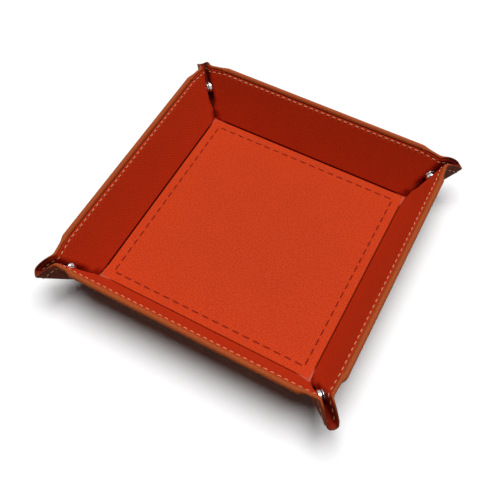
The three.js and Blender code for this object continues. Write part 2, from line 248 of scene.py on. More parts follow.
# %% Leather grain
FLECK_SHARE, DRIFT_SHARE = 0.65, 0.2
grain, grain_in, grain_out = start_group(
    "leather_grain",
    [("Sheet", "v"), ("Pebbles", "f"), ("Hatch", "f"), ("Hatch share", "f"), ("Drift", "f")],
    [("Height", "f"), ("Tone", "f")],
)
pebbles = add_node(
    grain, "ShaderNodeTexVoronoi", {"feature": "SMOOTH_F1", "voronoi_dimensions": "2D"},
    Vector=grain_in["Sheet"], Scale=grain_in["Pebbles"], Smoothness=0.6, Randomness=0.9,
)
dome = fade(grain, pebbles.outputs["Distance"], 0.05, 0.75)
hatches = []
for angle in (45.0, -45.0):
    slanting = add_node(
        grain, "ShaderNodeMapping", Vector=grain_in["Sheet"], Rotation=(0, 0, math.radians(angle)))
    hatches.append(add_node(
        grain, "ShaderNodeTexWave", {"wave_type": "BANDS", "bands_direction": "X"},
        Vector=slanting.outputs["Vector"], Scale=grain_in["Hatch"], Distortion=1.2, Detail=1.0,
    ).outputs["Fac"])
crossed = calc(grain, "MULTIPLY", *hatches)
height = add_node(
    grain, "ShaderNodeMix", {"data_type": "FLOAT"}, _0=grain_in["Hatch share"], _2=dome, _3=crossed,
).outputs[0]
drift = add_node(
    grain, "ShaderNodeTexNoise", {"noise_dimensions": "2D"},
    Vector=grain_in["Sheet"], Scale=grain_in["Drift"], Detail=4.0, Roughness=0.6,
).outputs["Fac"]
fleck = calc(grain, "MULTIPLY", height, FLECK_SHARE)
tone = calc(grain, "ADD", calc(grain, "MULTIPLY", drift, DRIFT_SHARE), fleck)
grain.links.new(height, grain_out["Height"])
grain.links.new(tone, grain_out["Tone"])
print("grain group with", len(grain.nodes), "nodes")

# %% [markdown]
# All leathers share that grain. Each has its own two tones, its own pebbles and its own gloss, and may have
# painted light: a function that changes the colour by the place on the sheet, to paint shade and highlights
# into it.

# %% Leather
HATCH, DRIFT = 260.0, 45.0  # scales on the sheet, per metre
GRAIN_DEEP = 0.00018


def leather(name, dark, light, pebbles, hatch_share, roughness, specular, bump, painted_light=None):
    """Grained leather, whose colour drifts between two tones and whose hollows are less glossy. The last
    argument, a function of the tree, the place on the sheet and the colour, returns the colour with painted
    shade and highlights."""
    material, tree, shader = start_material(name, Specular_IOR_Level=specular)
    sheet = add_node(tree, "ShaderNodeUVMap", {"uv_map": "sheet"}).outputs["UV"]
    surface = add_node(
        tree, "ShaderNodeGroup", {"node_tree": grain},
        Sheet=sheet, Pebbles=pebbles, Hatch=HATCH, Hatch_share=hatch_share, Drift=DRIFT,
    ).outputs
    color = two_tones(tree, surface["Tone"], dark, light, 0.15, 0.65)
    # painted shade and highlights, drawn into the base colour
    if painted_light:
        color = painted_light(tree, sheet, color)
    tree.links.new(color, shader.inputs["Base Color"])
    gloss = add_node(
        tree, "ShaderNodeMapRange", Value=surface["Height"], To_Min=roughness + 0.12, To_Max=roughness - 0.04)
    tree.links.new(gloss.outputs["Result"], shader.inputs["Roughness"])
    add_relief(tree, shader, surface["Height"], bump, GRAIN_DEEP)
    return material


print("leather reads the grain group", grain.name)

# %% [markdown]
# Round the base the lining falls into the crease, and a dark line of painted shade is drawn there. Beside
# each corner the line gives way to a painted highlight on a pucker, where the lining is stretched over the
# fold. Both lie on the sheet, so they are drawn in its own coordinates: x is the distance from the middle of
# the tray to the crease and beyond, and y runs along the wall.

# %% Painted shade and highlight at the crease
# painted shade for the crease's valley, and a painted highlight for the puckers beside the corners
CREASE_SHADE, PUCKER_HIGHLIGHT = (0.07, 0.003, 0.001), (0.80, 0.22, 0.13)
PAINTED_LINE_SHARE = 0.8
PUCKER_PLACE, PUCKER_HALF = 78.0, 6.0  # middle and half length of a pucker, along the wall


def soft_line(tree, value, centre, half, top):
    """As much as top on a line where the value equals centre, fading out round its half width. The line's
    sizes are in millimetres."""
    off = calc(tree, "ABSOLUTE", calc(tree, "SUBTRACT", value, centre * MM))
    return fade(tree, off, 0.5 * half * MM, 1.5 * half * MM, top, 0.0)


def crease_shade_and_highlight(tree, sheet, color):
    """The wall's side of the crease: a dark line of painted shade, and a painted highlight streak beside each
    corner.
    """
    place = add_node(tree, "ShaderNodeSeparateXYZ", Vector=sheet).outputs
    beside = soft_line(tree, calc(tree, "ABSOLUTE", place["Y"]), PUCKER_PLACE, PUCKER_HALF, 0.95)
    # a painted highlight streak beside each corner, on the crease
    highlight_streak = calc(tree, "MULTIPLY", beside, soft_line(tree, place["X"], HALF + 0.3, 0.9, 1.0))
    # a dark line of painted shade along the crease's valley, left out where the highlight lies
    line = soft_line(tree, place["X"], HALF - 1.0, 1.2, PAINTED_LINE_SHARE)
    line = calc(tree, "MULTIPLY", line, calc(tree, "SUBTRACT", 1.0, beside))
    return tinted(tree, tinted(tree, color, line, CREASE_SHADE), highlight_streak, PUCKER_HIGHLIGHT)


def edge_shade_and_highlight(tree, sheet, color):
    """The base's side: a line by the greater of the two distances from the middle, painted shade along the
    sides and a painted highlight beside the corners, by the smaller of the two."""
    place = add_node(tree, "ShaderNodeSeparateXYZ", Vector=sheet).outputs
    across = [calc(tree, "ABSOLUTE", place[axis]) for axis in "XY"]
    line = soft_line(tree, calc(tree, "MAXIMUM", *across), HALF - 2.1, 0.9, PAINTED_LINE_SHARE)
    along_side = fade(tree, calc(tree, "MINIMUM", *across), (HALF - 13) * MM, (HALF - 7) * MM)
    # dark is the painted shade along the sides; the rest of the line is a painted highlight beside the
    # corners
    dark = calc(tree, "MULTIPLY", line, along_side)
    painted_highlight = calc(tree, "SUBTRACT", line, dark)
    return tinted(tree, tinted(tree, color, dark, CREASE_SHADE), painted_highlight, PUCKER_HIGHLIGHT)


print("a pucker is", 2 * PUCKER_HALF, "mm long")

# %% [markdown]
# The base lining is the brightest and has the least hatch. The wall linings are the same leather in tones of
# their own, less green and a little more red: painted light, which lifts the slanted walls that get less
# light and deepens their red as light bounced off the base does. The cover is the tan-brown that shows as a
# band where it turns over the rim.

# %% Leathers
BASE_TONES = (0.475, 0.0365, 0.0053), (0.605, 0.0505, 0.0077)
# wall tones carry painted light: more red and less green than the base, for the less lit, slanted walls
WALL_TONES_WITH_PAINTED_LIGHT = (0.47, 0.030, 0.0055), (0.63, 0.042, 0.0085)
COVER_TONES = (0.34, 0.060, 0.012), (0.44, 0.086, 0.020)
WALL_GRAIN = 1100.0, 0.60, 0.60, 0.08, 0.8
COVER_GRAIN = 900.0, 0.30, 0.55, 0.1, 0.5
base_leather = leather("base_lining", *BASE_TONES, 950.0, 0.15, 0.62, 0.08, 0.5, edge_shade_and_highlight)
wall_leather = leather("wall_lining", *WALL_TONES_WITH_PAINTED_LIGHT, *WALL_GRAIN, crease_shade_and_highlight)
cover_leather = leather("tan_cover", *COVER_TONES, *COVER_GRAIN)
print("leathers:", base_leather.name, wall_leather.name, cover_leather.name)

# %% [markdown]
# Sewing thread is two plies twisted together, which shows as fine slanting lights along each
# stitch. The rim is sewn in a cream thread and the base in a dark red one. The stitch carries its
# own UV map, with v running along it, so that a slanting wave gives the twist.

# %% Threads
def thread(name, dark, light, roughness):
    """Twisted thread: a band wave slanted over the stitch's own UV, for both colour and relief."""
    material, tree, shader = start_material(name, Roughness=roughness, Specular_IOR_Level=0.1)
    sheet = add_node(tree, "ShaderNodeUVMap", {"uv_map": "sheet"})
    slanted = add_node(tree, "ShaderNodeMapping", Vector=sheet.outputs["UV"], Rotation=(0, 0, 0.9))
    twist = add_node(
        tree, "ShaderNodeTexWave", {"bands_direction": "Y"},
        Vector=slanted.outputs["Vector"], Scale=2.2, Distortion=0.4,
    ).outputs["Fac"]
    tree.links.new(two_tones(tree, twist, dark, light), shader.inputs["Base Color"])
    add_relief(tree, shader, twist, 0.5, 0.0001)
    return material


cream_thread = thread("cream_thread", (0.68, 0.31, 0.16), (0.90, 0.49, 0.28), 0.55)
red_thread = thread("dark_red_thread", (0.17, 0.009, 0.004), (0.25, 0.014, 0.006), 0.7)
print("threads:", cream_thread.name, red_thread.name)

# %% [markdown]
# The press snaps are plated metal: a bright, slightly uneven mirror. The ring spring inside is plain
# wire, and the boards are pressed grey-brown fibre. These read Object coordinates, because their
# pieces never bend. The boards are the only solids that stay as they are, inside the leather.

# %% Metal and board
def plated(name, color, low, high):
    """Plated metal: one fine noise moves the roughness between low and high, and the colour a little."""
    material, tree, shader = start_material(name, Metallic=1.0)
    place = add_node(tree, "ShaderNodeTexCoord").outputs["Object"]
    wander = add_node(tree, "ShaderNodeTexNoise", Vector=place, Scale=900.0, Detail=3.0).outputs["Fac"]
    finish = add_node(tree, "ShaderNodeMapRange", Value=wander, To_Min=low, To_Max=high)
    tree.links.new(finish.outputs["Result"], shader.inputs["Roughness"])
    dull = [0.85 * channel for channel in color]
    tree.links.new(two_tones(tree, wander, dull, color), shader.inputs["Base Color"])
    return material


def fibre_board(name, dark, light):
    """Pressed fibre: a noise with much fine detail, between two dull tones."""
    material, tree, shader = start_material(name, Roughness=0.9, Specular_IOR_Level=0.2)
    place = add_node(tree, "ShaderNodeTexCoord").outputs["Object"]
    fibres = add_node(
        tree, "ShaderNodeTexNoise", Vector=place, Scale=700.0, Detail=6.0, Roughness=0.7).outputs["Fac"]
    tree.links.new(two_tones(tree, fibres, dark, light), shader.inputs["Base Color"])
    add_relief(tree, shader, fibres, 0.4, 0.0003)
    return material


nickel = plated("dark_nickel", (0.5, 0.49, 0.48), 0.06, 0.16)
spring_wire = plated("spring_wire", (0.45, 0.45, 0.46), 0.25, 0.4)
grey_board = fibre_board("grey_board", (0.17, 0.13, 0.10), (0.36, 0.29, 0.22))
for name, node in frame["nodes"].items():
    if name.endswith("_board"):
        node.data.materials.clear()
        node.data.materials.append(grey_board)
print("boards keep their solids, with their own finish")

# %% [markdown]
# Every new piece is a grid of points. Each grid brings the direction it faces, so faces can be
# turned the right way for the whole array at once. Open edges are marked sharp, so the cut edge
# of the leather doesn't soften the shading of its face.

# %% From grids to meshes
def grid_faces(rows, columns, first=0):
    """Corner numbers of the quads of a grid, row after row, counted from first."""
    corner = first + np.arange((rows - 1) * columns).reshape(rows - 1, columns)[:, :-1].ravel()
    return np.stack([corner, corner + 1, corner + columns + 1, corner + columns], axis=1)


def face_directions(points, faces):
    """Cross product of the two diagonals of each quad."""
    a, b, c, d = (points[faces[:, i]] for i in range(4))
    return np.cross(c - a, d - b)


def build_mesh(name, points, faces, facing, flat, material):
    """Mesh from whole arrays: faces turned to agree with facing, doubles welded, flat kept as UV."""
    agree = np.einsum("ij,ij->i", face_directions(points, faces), facing[faces].sum(axis=1))
    faces = np.where((agree < 0)[:, None], faces[:, ::-1], faces).astype(np.int32)
    mesh = bpy.data.meshes.new(name)
    mesh.vertices.add(len(points))
    mesh.vertices.foreach_set("co", (points * MM).astype(np.float32).ravel())
    mesh.loops.add(faces.size)
    mesh.loops.foreach_set("vertex_index", faces.ravel())
    mesh.polygons.add(len(faces))
    mesh.polygons.foreach_set("loop_start", np.arange(0, faces.size, 4, dtype=np.int32))
    mesh.update(calc_edges=True)
    layer = mesh.uv_layers.new(name="sheet")
    layer.data.foreach_set("uv", flat[faces.ravel()].astype(np.float32).ravel())
    work = bmesh.new()
    work.from_mesh(mesh)
    bmesh.ops.remove_doubles(work, verts=work.verts, dist=2e-7)
    bmesh.ops.dissolve_degenerate(work, edges=work.edges, dist=1e-7)
    work.to_mesh(mesh)
    work.free()
    edge_of_loop = np.empty(len(mesh.loops), dtype=np.int32)
    mesh.loops.foreach_get("edge_index", edge_of_loop)
    open_edges = np.bincount(edge_of_loop, minlength=len(mesh.edges)) == 1
    mesh.edges.foreach_set("use_edge_sharp", open_edges)
    mesh.polygons.foreach_set("use_smooth", np.ones(len(mesh.polygons), dtype=bool))
    mesh.materials.append(material)
    piece = bpy.data.objects.new(name, mesh)
    bpy.context.scene.collection.objects.link(piece)
    return piece


print("meshes come from grids of quads")

# %% [markdown]
# A skin is one or more such grids, welded where they meet, with a thickness added on the side away from the
# eye by a Solidify modifier. All four walls and corners are alike, so a shape is worked out once and turned.


def skin(name, grids, material, thickness=LEATHER):
    """A leather skin from grids of (points, facing, flat), thickened on the side away from facing."""
    points, facing, flat, faces, first = [], [], [], [], 0
    for grid, direction, sheet in grids:
        faces.append(grid_faces(*grid.shape[:2], first))
        points.append(grid.reshape(-1, 3))
        facing.append(np.broadcast_to(direction, grid.shape).reshape(-1, 3))
        flat.append(sheet.reshape(-1, 2) * MM)
        first += len(points[-1])
    piece = build_mesh(name, *map(np.concatenate, (points, faces, facing, flat)), material)
    solid = piece.modifiers.new("thickness", "SOLIDIFY")
    solid.thickness = thickness * MM
    solid.offset = -1.0
    return piece


def turned(points, quarter, side=1):
    """Points of the right wall mirrored over its middle by side -1, then turned by quarter turns about Z."""
    x, y, z = points[..., 0], points[..., 1] * side, points[..., 2]
    c, s = round(math.cos(quarter * math.pi / 2)), round(math.sin(quarter * math.pi / 2))
    return np.stack([c * x - s * y, s * x + c * y, z], axis=-1)


def turn_grid(grid, quarter, side=1):
    """A grid and its facing taken to another wall."""
    points, facing, flat = grid
    facing = np.broadcast_to(facing, points.shape)
    return turned(points, quarter, side), turned(facing, quarter, side), flat


def steps(*stops):
    """One rising row of values: each stop after the first is (value, count) and adds an even run up to it."""
    values = [np.array([float(stops[0])])]
    for value, count in stops[1:]:
        values.append(np.linspace(values[-1][-1], value, count + 1)[1:])
    return np.concatenate(values)


print("skins are", LEATHER, "mm thick, and", EAR_LEATHER, "mm at the ears")

# %% [markdown]
# The leather turns up at each crease. Its middle is drawn as a flat run, a round bend and a
# straight run up the wall, as a function of one distance s measured over the crease: below zero is
# the base, above zero the wall. Any face of the leather is that line moved inward by a depth.

# %% Section over a crease
CREASE_RADIUS = 3.0
crease_reach = CREASE_RADIUS * math.tan(LEAN / 2)
STRIP_INSIDE = 1.9  # a crease strip begins this far inside the fold, in the valley


def crease_section(s):
    """Out, up and turn of the leather's middle: flat, then an arc through the lean, then straight."""
    turn = LEAN * np.clip((s / crease_reach + 1) / 2, 0, 1)
    arc_out = CREASE_RADIUS * np.sin(turn) - crease_reach
    arc_up = CREASE_RADIUS * (1 - np.cos(turn))
    out = np.where(s < -crease_reach, s, np.where(s > crease_reach, s * math.cos(LEAN), arc_out))
    up = np.where(s < -crease_reach, 0.0, np.where(s > crease_reach, s * math.sin(LEAN), arc_up))
    return out, up, turn


def wall_point(s, y, depth):
    """Place at distance s over the crease and y along it, moved inward by depth."""
    out, up, turn = crease_section(s)
    return np.stack(np.broadcast_arrays(
        HALF + out - depth * np.sin(turn), y, FOLD + up + depth * np.cos(turn)), axis=-1)


def wall_inward(s, y):
    """Direction in from the leather at distance s over the crease."""
    turn = crease_section(s)[2]
    return np.stack(np.broadcast_arrays(-np.sin(turn), 0.0 * y, np.cos(turn)), axis=-1)


print("crease bend reaches", round(crease_reach, 2), "mm to each side")

# %% [markdown]
# A wall's flat leather ends where the corner begins to bend, and its board ends a little earlier.
# The rim is level over the board and then falls towards the bend. These lengths grow with the
# slant, because the walls lean outward and so get longer towards the rim.

# %% Where a wall ends
FLANK = 4.0  # middle of the cover to the corner's mirror plane, at the snap
INSET = PADDED_FACE - SOFT_FACE  # the cover is drawn in by this past the board
BEND_RADIUS = 3.0
BOARD_TO_BEND = 3.0
BEND_GAP = 0.5
EAR_LAP = 0.8  # the corner's skin begins this far before the bend
BOARD_HALF = HALF - 2.5
BEND_SLANT = 41.9  # the rim has fallen to this at the bend
ROOT2 = math.sqrt(2)
bend_tangent = math.tan(math.pi / 8)


def wall_end(s):
    """Half length of a wall's flat leather at slant s: it grows with the lean towards the rim."""
    meeting = HALF + s * math.cos(LEAN) - INSET * math.sin(LEAN)
    return meeting - ROOT2 * FLANK - BEND_RADIUS * bend_tangent - BEND_GAP


def board_end(s):
    """Half length of the board at slant s: straight ends with the lower corners cut off."""
    return np.minimum(BOARD_HALF, wall_end(s) - BOARD_TO_BEND)


def ear_start(s):
    """Half length at which a wall's skin hands over to the corner's skin."""
    return wall_end(s) + BEND_GAP - EAR_LAP


def rim_slant(y):
    """Slant of the rim at y along the wall: level over the board, then falling to the bend."""
    past_board = (np.abs(y) - BOARD_HALF) / (ear_start(SLANT) - BOARD_HALF)
    return mix(SLANT, BEND_SLANT, np.clip(past_board, 0, 1))


print("wall board half length", BOARD_HALF, "mm; leather at the rim", round(wall_end(SLANT), 1), "mm")

# %% [markdown]
# Past the board the cover is drawn in against the lining, so the lining stays level while the
# outside steps in. At the crease the lining drops to the cover, which makes the dark valley round
# the base. Near the rim the stitches pull it down, and then it dips under the turned lip.

# %% Depth of the leather
RIM_TOP, RIM_OUTER = 3.7, -0.2  # inner and outer face of the turned rim over the board
LIP, THIN_LIP = 3.1, 1.7  # turned rim, from its outer edge to its cut edge, over the board and past it
RIM_STITCH = 4.8  # rim stitches, from the outer edge
RIM_PITCH = 4.65
RIM_DASH = 3.3
GROOVE, UNDER_GROOVE = 0.4, 0.25  # depth to which the stitches pull the lining, and the base's cover
VALLEY_HALF, VALLEY_EASE = 0.7, 2.7  # half the valley's floor, and the run of each of its slopes


def off_crease(s):
    """0 in the valley of the crease and 1 on both sides of it."""
    return smooth((np.abs(s) - VALLEY_HALF) / VALLEY_EASE)


def drawn_in(s, y):
    """How far the cover is drawn in past the end of the board."""
    room = np.minimum(6.0, ear_start(s) - board_end(s))
    return INSET * smooth((np.abs(y) - board_end(s)) / room) * off_crease(s)


def over_board(y):
    """1 where the rim has the board in it, 0 just past the board's end."""
    return smooth((BOARD_HALF + 0.6 - np.abs(y)) / 1.6)


def stitch_pull(distance, along, pitch, deep):
    """How far a row of stitches pulls the leather down: a soft groove, deepest at the needle holes."""
    holes = 0.65 + 0.35 * np.cos(2 * math.pi * along / pitch)
    return deep * np.exp(-((distance / 0.9) ** 2)) * holes


def lining_depth(s, y):
    """Inner face of the lining: the crease's valley, then level, less the stitch groove and the dip under
    the lip."""
    depth = mix(VALLEY_FACE, PADDED_FACE, off_crease(s))
    from_rim = rim_slant(y) - s
    dip = mix(0.9, PADDED_FACE - RIM_TOP + 0.95, over_board(y))
    lip = mix(THIN_LIP, LIP, over_board(y))
    groove = stitch_pull(from_rim - RIM_STITCH, y, RIM_PITCH, GROOVE)
    return depth - groove - dip * smooth((lip + 1.1 - from_rim) / 1.0)


def cover_depth(s, y):
    """Outer face of the cover: flat over the board, eased in towards the rim and drawn in past the board."""
    ease = (RIM_OUTER - OUTER_FACE) * smooth((s - SLANT + 7.0) / 5.0) * over_board(y)
    return OUTER_FACE + ease + drawn_in(s, y)


print("lining", PADDED_FACE, "mm deep over a board and", VALLEY_FACE, "mm in the crease")

# %% [markdown]
# The base lining is the big bright panel. A square of dark red stitches runs round it, and the
# leather swells a little inside and outside that row. It is one grid over the base, closer where the
# stitches are, and its height depends on the distance to the nearest crease.

# %% Base lining
BASE_STITCH = 9.3  # base stitches, from the fold
BASE_COUNT = 19
BASE_PITCH = 2 * (HALF - BASE_STITCH) / BASE_COUNT
BASE_SWELL = 0.35
base_reach = HALF - STRIP_INSIDE


def base_depth(x, y):
    """Inner face over the base: padded, with a groove at the stitched square, a slight swell inside it and
    the fall into the valley of the crease."""
    edge = HALF - np.maximum(np.abs(x), np.abs(y))
    along = np.where(np.abs(x) > np.abs(y), y, x)
    crown = (1 - (x / HALF) ** 2) * (1 - (y / HALF) ** 2)
    inside = BASE_SWELL * crown * smooth((edge - BASE_STITCH) / 14.0)
    level = mix(VALLEY_FACE, PADDED_FACE, off_crease(edge)) + inside
    return level - stitch_pull(edge - BASE_STITCH, along + BASE_PITCH / 2, BASE_PITCH, GROOVE)


def lay_base(layer, height, up, finish):
    """One layer of the base: a skin over the base's grid at a height, which faces up or down."""
    face = np.stack([base_x, base_y, height], axis=-1)
    piece = skin(f"base_{layer}_leather", [(face, (0, 0, up), base_flat)], finish)
    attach(piece, "base")
    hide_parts(f"base_{layer}")
    print(f"base {layer}:", len(piece.data.polygons), "faces, up to", round(float(height.max()), 2), "mm")


line = steps(-base_reach, (-77.0, 16), (-71.0, 18), (71.0, 72), (77.0, 18), (base_reach, 16))
base_x, base_y = np.meshgrid(line, line)
base_flat = np.stack([base_x, base_y], axis=-1)
lay_base("lining", FOLD + base_depth(base_x, base_y), 1, base_leather)

# %% [markdown]
# The underside is one flat panel of the cover. The tray stands on it, so it stays at the table's
# height, and its stitches are let in rather than standing proud.

# %% Base cover
under_edge = HALF - np.maximum(np.abs(base_x), np.abs(base_y))
under_pull = stitch_pull(under_edge - BASE_STITCH, base_x, BASE_PITCH, UNDER_GROOVE)
lay_base("cover", FOLD + OUTER_FACE + under_pull, -1, cover_leather)

# %% [markdown]
# A wall's skin is two grids welded into one: a strip over the crease, which is mitred with its neighbours on
# the diagonals, and the wall itself, which widens towards the rim. The strip follows the base on one side and
# the wall on the other; the skin is only baked in place as it stands, with no blend over the crease.

# %% Grids of a wall
strip_rows = steps(-STRIP_INSIDE, (crease_reach, 16))
wall_share = steps(-1.0, (-0.82, 26), (0.82, 150), (1.0, 26))
mitre_share = steps(0.0, (1.0, 10))


def strip_grid(depth_of):
    """Strip over the crease: the wall's own columns, and at each end more columns out to the diagonal."""
    s = strip_rows[:, None]
    middle = ear_start(crease_reach) * wall_share[None, :] + 0 * s
    out, _, turn = crease_section(s)
    corner = HALF + out - depth_of(s, 0 * s + 2 * HALF) * np.sin(turn)
    far = mix(ear_start(crease_reach) + 0 * s, corner, mitre_share[None, 1:])
    return s, np.concatenate([-far[:, ::-1], middle, far], axis=1)


def wall_grid(rise, below_rim):
    """Wall above the crease: rows at shares of its height, up to a line below the rim."""
    top = rim_slant(ear_start(SLANT) * wall_share) - below_rim
    s = mix(crease_reach, top[None, :], rise[:, None])
    return s, ear_start(s) * wall_share[None, :]


def leather_grid(s, y, depth, sign):
    """Points at a depth, the way they face and their flat place on the sheet."""
    flat = np.stack(np.broadcast_arrays(HALF + s, y), axis=-1)
    return wall_point(s, y, depth), sign * wall_inward(s, y), flat


def blend_over_crease(piece):
    """Bakes the piece's place into its mesh; nothing is blended over the crease."""
    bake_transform(piece)


def hang_walls(layer, grids, finish):
    """The same skin on each of the four walls, baked in place; nothing is blended over the crease."""
    for quarter, wall in enumerate(WALLS):
        own_grids = [turn_grid(grid, quarter) for grid in grids]
        piece = skin(f"{wall}_wall_{layer}_leather", own_grids, finish)
        blend_over_crease(piece)
        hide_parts(f"{wall}_wall_{layer}")
    print(f"wall {layer}s:", len(piece.data.polygons), "faces each")


print("a wall has", len(wall_share), "columns")

# %% [markdown]
# The wall linings are the red inner faces of the sides. They end a little under the rim, where the
# cover's turned lip lies over them.

# %% Wall linings
LINING_TOP = 1.9  # the lining ends this far under the rim
wall_rise = steps(0.0, (0.07, 10), (0.86, 22), (1.0, 18))
lining_grids = []
for s, y in (strip_grid(lining_depth), wall_grid(wall_rise, LINING_TOP)):
    lining_grids.append(leather_grid(s, y, lining_depth(s, y), 1))
hang_walls("lining", lining_grids, wall_leather)

# %% [markdown]
# The cover runs up the outside, turns over the rim in a half round and lies on the lining as a flat
# lip with a cut edge. That is the tan band of the photo. Over the board the rim is thick; past the
# board's end it thins to two layers of leather. The section is a profile: the outer face, the
# half circle, the lip and its cut edge, carried along the wall.

# %% Turned rim
CUT_DROP = 0.9  # the lip's cut edge is rounded off by this
roll_turns = np.radians(steps(-90.0, (90.0, 14)))
lip_run = steps(0.0, (1.0, 6))


def rim_sizes(y):
    """Outer face, top and lip of the turned rim at y along the wall: thick over the board, thin past it."""
    board = over_board(y)
    return cover_depth(SLANT, y), mix(PADDED_FACE + 0.1, RIM_TOP, board), mix(THIN_LIP, LIP, board)


def rim_profile(base, inward, outward, low, top, lip):
    """From the outer face over the rim to the lip: a half circle between the depths low and top, then a run
    back down the lining that is rounded off at its cut edge. Stations run along the last axis but one."""
    turns = roll_turns[:, None, None]
    radius = (top - low) / 2
    roll_facing = np.cos(turns) * outward + np.sin(turns) * inward
    roll = base + inward * ((top + low) / 2)[:, None] + radius[:, None] * roll_facing
    back = (lip - radius)[:, None] * lip_run[1:, None, None]
    drop = CUT_DROP * smooth((lip_run[1:, None, None] - 0.62) / 0.38) ** 2
    edge = base - outward * back + inward * (top[:, None] - drop)
    facing = np.concatenate([roll_facing, np.broadcast_to(inward, edge.shape)])
    return np.concatenate([roll, edge]), facing


print("rim profile has", len(roll_turns) + len(lip_run) - 1, "points")

# %% [markdown]
# A wall's cover is the outer face with that profile added along its top row. On the flat sheet the
# turned part lies beyond the rim, by the length measured over the profile.

# %% Wall covers
cover_share = steps(0.0, (1.0, 30))
low, top, lip = rim_sizes(ear_start(SLANT) * wall_share)
face_s, face_y = wall_grid(cover_share, (top - low) / 2)
outer = leather_grid(face_s, face_y, cover_depth(face_s, face_y), -1)
roll_base = wall_point(face_s[-1], face_y[-1], 0.0)
slant_up = np.broadcast_to([math.cos(LEAN), 0.0, math.sin(LEAN)], roll_base.shape)
slant_in = np.broadcast_to([-math.sin(LEAN), 0.0, math.cos(LEAN)], roll_base.shape)
roll_points, roll_facing = rim_profile(roll_base, slant_in, slant_up, low, top, lip)
over_run = np.linalg.norm(np.diff(roll_points, axis=0), axis=-1).cumsum(axis=0)
roll_flat = np.stack([HALF + face_s[-1] + over_run, face_y[-1] + 0 * over_run], axis=-1)
rolled = (roll_points[1:], roll_facing[1:], roll_flat)
s, y = strip_grid(lambda s, y: OUTER_FACE + 0 * s)
cover_wall = tuple(np.concatenate(pair) for pair in zip(outer, rolled))
hang_walls("cover", [leather_grid(s, y, OUTER_FACE, -1), cover_wall], cover_leather)
print("rim", round(float((top - low).max()), 2), "mm thick")

# %% [markdown]
# The pinched corner is the hard form of this object. Seen in plan at one height, the leather
# leaves the wall, bends outward, lies flat beside the mirror plane where the snap holds it, and opens
# into half of a spout that closes on the mirror plane. All its sizes depend on the height: near the
# base the slot closes to nothing, above that the spout widens, and at its tip it narrows a little.

# %% Sizes of the pinched corner
SPINE_RISE = math.radians(31.0)
SPOUT_TAPER = 0.5  # the spout narrows by this towards its tip
SPOUT_REACH = 1.5  # the spout's section is longer than wide, so that it is round across its slope
SLOT_CLOSED = 0.03  # share of the slot that is open at the foot
SLOT_LOW, SLOT_RISE = 2.0, 14.5  # height at which it begins to open, and the rise until it is open
FOOT_LOOP = 2.9  # half width of the spout at the foot
FLAT_SHARE = 0.8  # share of the run from bend to spout that is flat for the snap
SHEET_CORNER = 30.0  # radius of the flat sheet's corners
flank_settle = 0.3 * RIM_HEIGHT
bend_rise = math.atan2(math.sin(LEAN), math.cos(LEAN) * ROOT2)
fan_foot = BEND_RADIUS * bend_tangent - FLANK - ROOT2 * INSET / math.sin(LEAN)
sharp_tip = SLANT * ROOT2
tip_height = (sharp_tip - (ROOT2 - 1) * SHEET_CORNER) * math.sin(SPINE_RISE)
spout_from = 0.4 * tip_height


def foot_inset(h):
    """How far the corner's leather is drawn in at height h: nothing at the crease, all of it just above."""
    return INSET * smooth((h - 0.8) / 3.6)


def wall_slant(h):
    """Slant on the wall of the drawn-in leather at height h."""
    return (h - foot_inset(h) * math.cos(LEAN)) / math.sin(LEAN)


def corner_plan(h):
    """Sizes of the section at height h: flank offset, bend radius, spout's half width and reach, and where
    bend, flat and spout lie. The slot opens as a wedge. The spine leaves the base's corner as the walls meet
    and then fans out."""
    open_slot = mix(SLOT_CLOSED, 1.0, smooth((h - SLOT_LOW) / SLOT_RISE))
    flank, bend = FLANK * open_slot, BEND_RADIUS * open_slot
    settle = smooth(h / flank_settle)
    taper = SPOUT_TAPER * smooth((h - spout_from) / (tip_height - spout_from))
    loop = (mix(FOOT_LOOP, FLANK, settle) - taper) * smooth(h / 6.0)
    meeting = h / math.tan(bend_rise)
    bend_end = meeting - flank + bend * bend_tangent - ROOT2 * foot_inset(h) / math.sin(LEAN)
    fan = fan_foot + h / math.tan(SPINE_RISE)
    spine = (meeting + fan + np.hypot(meeting - fan, 1.5)) / 2
    reach = np.minimum(loop * mix(1.0, SPOUT_REACH, settle), 0.85 * (spine - bend_end))
    flat_end = mix(bend_end, spine - reach, FLAT_SHARE * settle)
    return flank, bend, loop, reach, bend_end, flat_end, spine - reach


print("tip of the ear at", round(tip_height, 1), "mm over the fold")

# %% [markdown]
# One function of the stretch along that line and the height gives the whole half corner. It could
# be modelled by hand from a folded sheet, but then wall, ear, edge and stitches would each have to
# be fitted to it. As a function, they all read the same surface.

# %% The corner's surface
def corner_point(stretch, h):
    """Middle of the cover. Stretch -1 to 0 is flat in the wall, 0 to 1 the bend, 1 to 2 the flat for the
    snap, 2 to 3 the flare and 3 to 4 a quarter turn of the spout. u runs out on the diagonal and v off it."""
    flank, bend, loop, reach, bend_end, flat_end, loop_centre = corner_plan(h)
    t = stretch - np.clip(np.floor(stretch), -1, 3)
    turn = (1 - np.clip(stretch, 0, 1)) * math.pi / 4
    round_turn = t * math.pi / 2
    runs = [stretch < 1, stretch < 2, stretch < 3]
    flare = mix(flat_end, loop_centre, t)
    u = np.select(
        runs, [bend_end - bend * np.sin(turn), mix(bend_end, flat_end, t), flare],
        loop_centre + reach * np.sin(round_turn))
    v = np.select(
        runs, [flank + bend * (1 - np.cos(turn)), flank + 0 * t, mix(flank, loop, smooth(t))],
        loop * np.cos(round_turn))
    x, y = (u + v) / ROOT2, (u - v) / ROOT2
    wall_y = ear_start(wall_slant(h)) - HALF
    y = np.where(stretch < 0, mix(wall_y, y, np.clip(stretch + 1, 0, 1)), y)
    return np.stack([HALF + x, HALF + y, FOLD + h + 0 * x], axis=-1)


